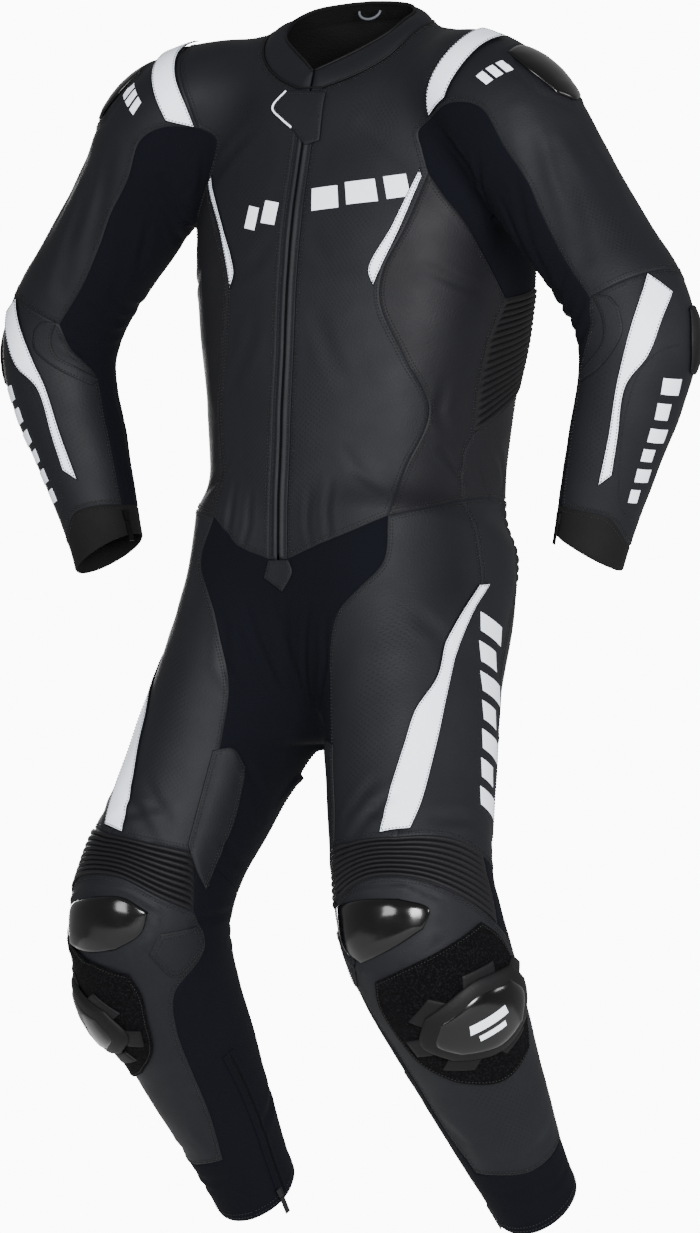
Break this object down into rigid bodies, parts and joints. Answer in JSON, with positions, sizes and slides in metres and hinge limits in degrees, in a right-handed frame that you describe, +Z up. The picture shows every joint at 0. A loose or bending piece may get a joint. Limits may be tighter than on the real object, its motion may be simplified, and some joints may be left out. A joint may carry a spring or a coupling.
{
  "type": "motorcycle race suit",
  "caption": "One-piece leather motorcycle race suit, filled out in a riding-cut pose, with ribbed stretch panels, glossy knee and shoulder protectors, pucks, and zipped cuffs and hems.",
  "frame": {"origin": "on the neck's axis, 53 mm above the foot of the collar at the throat", "axes": "+Z up along the wearer's back, -Y the way the chest faces, +X the wearer's left"},
  "size_m": [0.9054, 0.3926, 1.3273],
  "materials": {
    "leather": "matte full grain",
    "stretch_textile": "matte stretch weave and ribs",
    "white_leather": "smooth white",
    "gloss_plastic": "polished",
    "hook_and_loop": "fuzzy pile",
    "zip_metal": "black satin"
  },
  "bodies": {
    "suit": {"front_left": "leather", "front_right": "leather", "zip_placket": "leather", "side_front_left": "leather", "side_front_right": "leather", "side_ribs_left": "stretch_textile", "side_ribs_right": "stretch_textile", "side_low_left": "leather", "side_low_right": "leather", "back": "leather", "lumbar_ribs": "stretch_textile", "seat": "leather", "crotch_stretch": "stretch_textile", "sleeve_left": "leather", "sleeve_right": "leather", "forearm_left": "leather", "forearm_right": "leather", "underarm_stretch_left": "stretch_textile", "underarm_stretch_right": "stretch_textile", "cuff_left": "stretch_textile", "cuff_right": "stretch_textile", "thigh_front_left": "leather", "thigh_front_right": "leather", "thigh_outer_left": "leather", "thigh_outer_right": "leather", "knee_ribs_left": "stretch_textile", "knee_ribs_right": "stretch_textile", "shin_left": "leather", "shin_right": "leather", "calf_stretch_left": "stretch_textile", "calf_stretch_right": "stretch_textile", "chest_stripe_left": "white_leather", "chest_stripe_right": "white_leather", "shoulder_stripe_left": "white_leather", "shoulder_stripe_right": "white_leather", "shoulder_cup_left": "gloss_plastic", "shoulder_cup_right": "gloss_plastic", "sleeve_stripe_left": "white_leather", "sleeve_stripe_right": "white_leather", "elbow_slider_left": "gloss_plastic", "elbow_slider_right": "gloss_plastic", "thigh_stripe_left": "white_leather", "thigh_stripe_right": "white_leather", "knee_plate_left": "gloss_plastic", "knee_plate_right": "gloss_plastic", "puck_base_left": "hook_and_loop", "puck_base_right": "hook_and_loop", "knee_puck_left": "gloss_plastic", "knee_puck_right": "gloss_plastic", "throat_flap": "leather", "front_tab": "leather", "collar": "leather", "cuff_slider_left": "zip_metal", "ankle_slider_left": "zip_metal", "cuff_slider_right": "zip_metal", "ankle_slider_right": "zip_metal"},
    "cuff_tab_left": {"cuff_tab_left": "zip_metal"},
    "ankle_tab_left": {"ankle_tab_left": "zip_metal"},
    "cuff_tab_right": {"cuff_tab_right": "zip_metal"},
    "ankle_tab_right": {"ankle_tab_right": "zip_metal"}
  },
  "joints": [
    {"name": "cuff_tab_swing_left", "type": "hinge", "parent": "suit", "child": "cuff_tab_left", "pos_m": [0.30599, -0.06278, -0.51978], "axis": [-0.8265, 0.492, 0.2735], "range_deg": [0, 100]},
    {"name": "ankle_tab_swing_left", "type": "hinge", "parent": "suit", "child": "ankle_tab_left", "pos_m": [0.14509, 0.04736, -1.25826], "axis": [-0.4906, 0.6952, 0.5254], "range_deg": [0, 100]},
    {"name": "cuff_tab_swing_right", "type": "hinge", "parent": "suit", "child": "cuff_tab_right", "pos_m": [-0.28542, -0.03374, -0.51265], "axis": [-0.2118, -0.9735, -0.0863], "range_deg": [0, 100]},
    {"name": "ankle_tab_swing_right", "type": "hinge", "parent": "suit", "child": "ankle_tab_right", "pos_m": [-0.14101, 0.0549, -1.25258], "axis": [-0.3061, -0.7576, -0.5765], "range_deg": [0, 100]}
  ]
}
